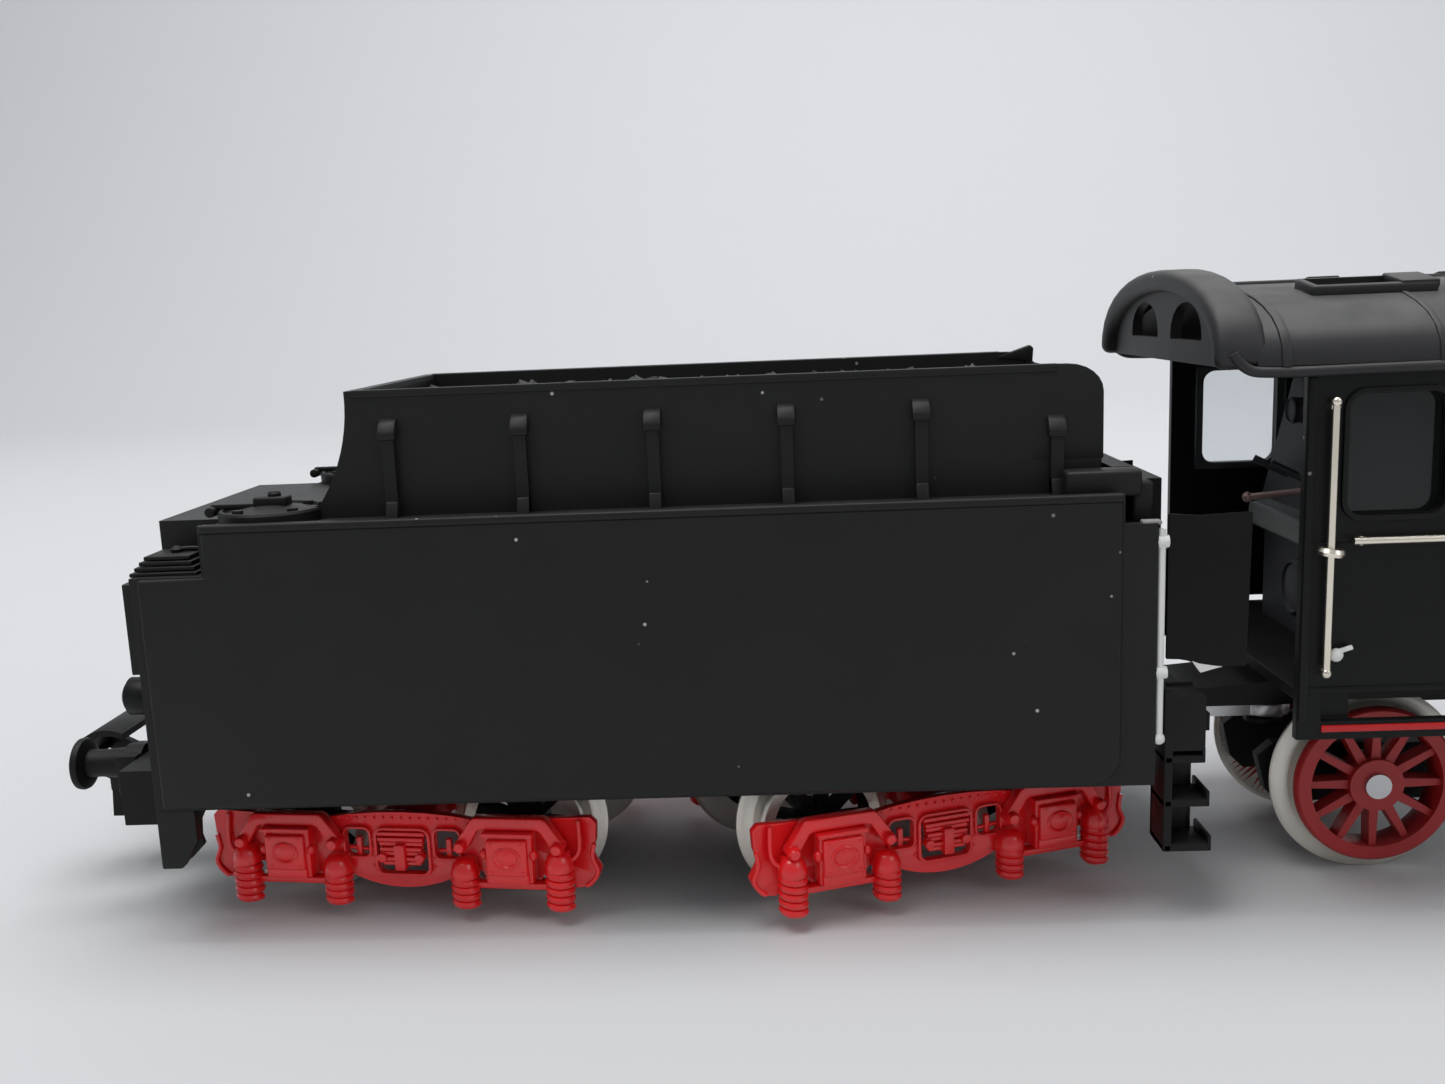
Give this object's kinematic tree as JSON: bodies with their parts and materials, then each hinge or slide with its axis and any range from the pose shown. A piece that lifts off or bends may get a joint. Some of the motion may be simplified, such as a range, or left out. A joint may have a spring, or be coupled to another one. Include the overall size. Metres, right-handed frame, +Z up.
{
  "type": "model steam locomotive",
  "caption": "Scale model of an express steam locomotive with a bogie tender, spoked wheels, coupled driving wheels with rods, and a loop coupler.",
  "frame": {"origin": "middle of the whole train on the plane the wheel flanges rest on", "axes": "+X forward along the length, from the tender to the front buffers; +Y to the engine's left; +Z up"},
  "size_m": [0.2782, 0.0382, 0.0536],
  "materials": {
    "black_body": "satin",
    "black_frame": "matt",
    "coal": "rough",
    "ballast": "as cast",
    "white_wire": "satin",
    "plain_steel": "brushed",
    "red_frame": "gloss",
    "wheel_steel": "bright",
    "cast_frame": "blackened",
    "nickel_wire": "bright",
    "clear_pane": "clear",
    "grey_cast": "as cast",
    "red_wheel": "satin",
    "motor_steel": "turned",
    "gear_brass": "machined"
  },
  "bodies": {
    "engine": {"engine_frame": "cast_frame", "front_beam": "red_frame", "front_buffers": "black_frame", "headlamps": "black_frame", "boiler_shell": "black_body", "smokebox_door": "black_body", "chimney": "black_body", "boiler_domes": "black_body", "running_boards": "black_body", "smoke_deflectors": "black_body", "boiler_handrails": "nickel_wire", "cab_shell": "black_body", "cab_roof": "black_body", "cab_glazing": "clear_pane", "cab_handrails": "nickel_wire", "cab_floor": "black_frame", "cab_backhead": "grey_cast", "cylinder_block": "black_body", "slide_bars": "plain_steel", "motor_housing": "black_frame"},
    "driver_main": {"drivers_main": "red_wheel"},
    "driver_rear": {"drivers_rear": "red_wheel"},
    "driver_front": {"drivers_front": "red_wheel"},
    "coupling_rod_right": {"coupling_rod_right": "plain_steel"},
    "coupling_rod_left": {"coupling_rod_left": "plain_steel"},
    "main_rod_right": {"main_rod_right": "plain_steel"},
    "main_rod_left": {"main_rod_left": "plain_steel"},
    "crosshead_right": {"crosshead_right": "plain_steel"},
    "crosshead_left": {"crosshead_left": "plain_steel"},
    "idler": {"idler_gear": "gear_brass"},
    "armature": {"motor_armature": "motor_steel"},
    "trailing_truck": {"trailing_truck_frame": "black_frame"},
    "trailing_wheels": {"trailing_wheelset": "red_wheel"},
    "lead_bogie": {"lead_bogie_frame": "black_frame"},
    "lead_wheels_rear": {"lead_wheelset_rear": "red_wheel"},
    "lead_wheels_front": {"lead_wheelset_front": "red_wheel"},
    "drawbar": {"drawbar": "plain_steel"},
    "tender": {"tender_shell": "black_body", "coal_load": "coal", "tender_chassis": "black_frame", "tender_weight": "ballast", "tender_front_lockers": "black_body", "tender_front_steps": "black_frame", "tender_front_handrails": "white_wire", "tender_fall_plates": "black_body", "tender_buffers": "black_frame", "tender_rear_fittings": "black_body", "tender_rear_lamps": "black_frame", "tender_filler_lids": "black_body", "tender_rear_hatches": "black_body", "tender_pivot_screws": "plain_steel"},
    "tender_bogie_rear": {"tender_bogie_frame_rear": "red_frame"},
    "tender_bogie_front": {"tender_bogie_frame_front": "red_frame"},
    "tender_wheels_1": {"tender_wheelset_1": "wheel_steel"},
    "tender_wheels_2": {"tender_wheelset_2": "wheel_steel"},
    "tender_wheels_3": {"tender_wheelset_3": "wheel_steel"},
    "tender_wheels_4": {"tender_wheelset_4": "wheel_steel"},
    "coupler": {"coupler_shank": "black_frame"},
    "coupler_bail": {"coupler_loop": "black_frame"}
  },
  "joints": [
    {"name": "driver_main_spin", "type": "hinge", "parent": "engine", "child": "driver_main", "pos_m": [0.0482, 0, 0.0128], "axis": [0, 1, 0], "continuous": true},
    {"name": "driver_rear_spin", "type": "hinge", "parent": "engine", "child": "driver_rear", "pos_m": [0.0212, 0, 0.0128], "axis": [0, 1, 0], "continuous": true},
    {"name": "driver_front_spin", "type": "hinge", "parent": "engine", "child": "driver_front", "pos_m": [0.0752, 0, 0.0128], "axis": [0, 1, 0], "continuous": true},
    {"name": "coupling_rod_right_pin", "type": "hinge", "parent": "driver_main", "child": "coupling_rod_right", "pos_m": [0.05064, -0.0108, 0.00989], "axis": [0, 1, 0], "continuous": true},
    {"name": "main_rod_right_pin", "type": "hinge", "parent": "driver_main", "child": "main_rod_right", "pos_m": [0.05064, -0.0125, 0.00989], "axis": [0, 1, 0], "continuous": true},
    {"name": "crosshead_right_slide", "type": "slide", "parent": "engine", "child": "crosshead_right", "axis": [1, 0, 0], "range_m": [-0.00614, 0.00146]},
    {"name": "coupling_rod_left_pin", "type": "hinge", "parent": "driver_main", "child": "coupling_rod_left", "pos_m": [0.05111, 0.0108, 0.01524], "axis": [0, 1, 0], "continuous": true},
    {"name": "main_rod_left_pin", "type": "hinge", "parent": "driver_main", "child": "main_rod_left", "pos_m": [0.05111, 0.0125, 0.01524], "axis": [0, 1, 0], "continuous": true},
    {"name": "crosshead_left_slide", "type": "slide", "parent": "engine", "child": "crosshead_left", "axis": [1, 0, 0], "range_m": [-0.00664, 0.00096]},
    {"name": "idler_spin", "type": "hinge", "parent": "engine", "child": "idler", "pos_m": [0.01989, 0, 0.02774], "axis": [0, 1, 0], "continuous": true},
    {"name": "armature_spin", "type": "hinge", "parent": "engine", "child": "armature", "pos_m": [0.01476, 0, 0.0369], "axis": [0, 1, 0], "continuous": true},
    {"name": "trailing_truck_swing", "type": "hinge", "parent": "engine", "child": "trailing_truck", "pos_m": [0.0064, 0, 0.0094], "axis": [0, 0, 1], "range_deg": [-4, 4]},
    {"name": "trailing_wheels_spin", "type": "hinge", "parent": "trailing_truck", "child": "trailing_wheels", "pos_m": [-0.0213, 0, 0.0083], "axis": [0, 1, 0], "continuous": true},
    {"name": "lead_bogie_swing", "type": "hinge", "parent": "engine", "child": "lead_bogie", "pos_m": [0.10855, 0, 0.0109], "axis": [0, 0, 1], "range_deg": [-4.5, 4.5]},
    {"name": "lead_wheels_rear_spin", "type": "hinge", "parent": "lead_bogie", "child": "lead_wheels_rear", "pos_m": [0.0959, 0, 0.00705], "axis": [0, 1, 0], "continuous": true},
    {"name": "lead_wheels_front_spin", "type": "hinge", "parent": "lead_bogie", "child": "lead_wheels_front", "pos_m": [0.1212, 0, 0.00705], "axis": [0, 1, 0], "continuous": true},
    {"name": "drawbar_swing", "type": "hinge", "parent": "engine", "child": "drawbar", "pos_m": [-0.0276, 0, 0.0128], "axis": [0, 0, 1], "range_deg": [-4, 4]},
    {"name": "tender_swing", "type": "hinge", "parent": "drawbar", "child": "tender", "pos_m": [-0.0414, 0, 0.0128], "axis": [0, 0, 1], "range_deg": [-4, 4]},
    {"name": "tender_bogie_rear_swing", "type": "hinge", "parent": "tender", "child": "tender_bogie_rear", "pos_m": [-0.1041, 0, 0.008], "axis": [0, 0, 1], "range_deg": [-1.9, 20.1]},
    {"name": "tender_wheels_1_spin", "type": "hinge", "parent": "tender_bogie_rear", "child": "tender_wheels_1", "pos_m": [-0.11402, 0.00124, 0.00705], "axis": [0.1236, 0.9923, 0], "continuous": true},
    {"name": "tender_wheels_2_spin", "type": "hinge", "parent": "tender_bogie_rear", "child": "tender_wheels_2", "pos_m": [-0.09418, -0.00124, 0.00705], "axis": [0.1236, 0.9923, 0], "continuous": true},
    {"name": "tender_bogie_front_swing", "type": "hinge", "parent": "tender", "child": "tender_bogie_front", "pos_m": [-0.063, 0, 0.008], "axis": [0, 0, 1], "range_deg": [-31.9, 0.6]},
    {"name": "tender_wheels_3_spin", "type": "hinge", "parent": "tender_bogie_front", "child": "tender_wheels_3", "pos_m": [-0.07246, -0.00324, 0.00705], "axis": [-0.3239, 0.9461, 0], "continuous": true},
    {"name": "tender_wheels_4_spin", "type": "hinge", "parent": "tender_bogie_front", "child": "tender_wheels_4", "pos_m": [-0.05354, 0.00324, 0.00705], "axis": [-0.3239, 0.9461, 0], "continuous": true},
    {"name": "coupler_swing", "type": "hinge", "parent": "tender", "child": "coupler", "pos_m": [-0.1268, 0, 0.0086], "axis": [0, 0, 1], "range_deg": [-10, 10]},
    {"name": "coupler_bail_lift", "type": "hinge", "parent": "coupler", "child": "coupler_bail", "pos_m": [-0.1321, 0, 0.0086], "axis": [0, 1, 0], "range_deg": [0, 20]}
  ],
  "couplings": [
    {"joint": "driver_rear_spin", "follows": "driver_main_spin", "ratio": 1},
    {"joint": "driver_front_spin", "follows": "driver_main_spin", "ratio": 1},
    {"joint": "coupling_rod_right_pin", "follows": "driver_main_spin", "ratio": -1},
    {"joint": "main_rod_right_pin", "follows": "driver_main_spin", "ratio": -1},
    {"joint": "coupling_rod_left_pin", "follows": "driver_main_spin", "ratio": -1},
    {"joint": "main_rod_left_pin", "follows": "driver_main_spin", "ratio": -1},
    {"joint": "idler_spin", "follows": "driver_main_spin", "ratio": -0.875},
    {"joint": "armature_spin", "follows": "driver_main_spin", "ratio": 2.8}
  ]
}
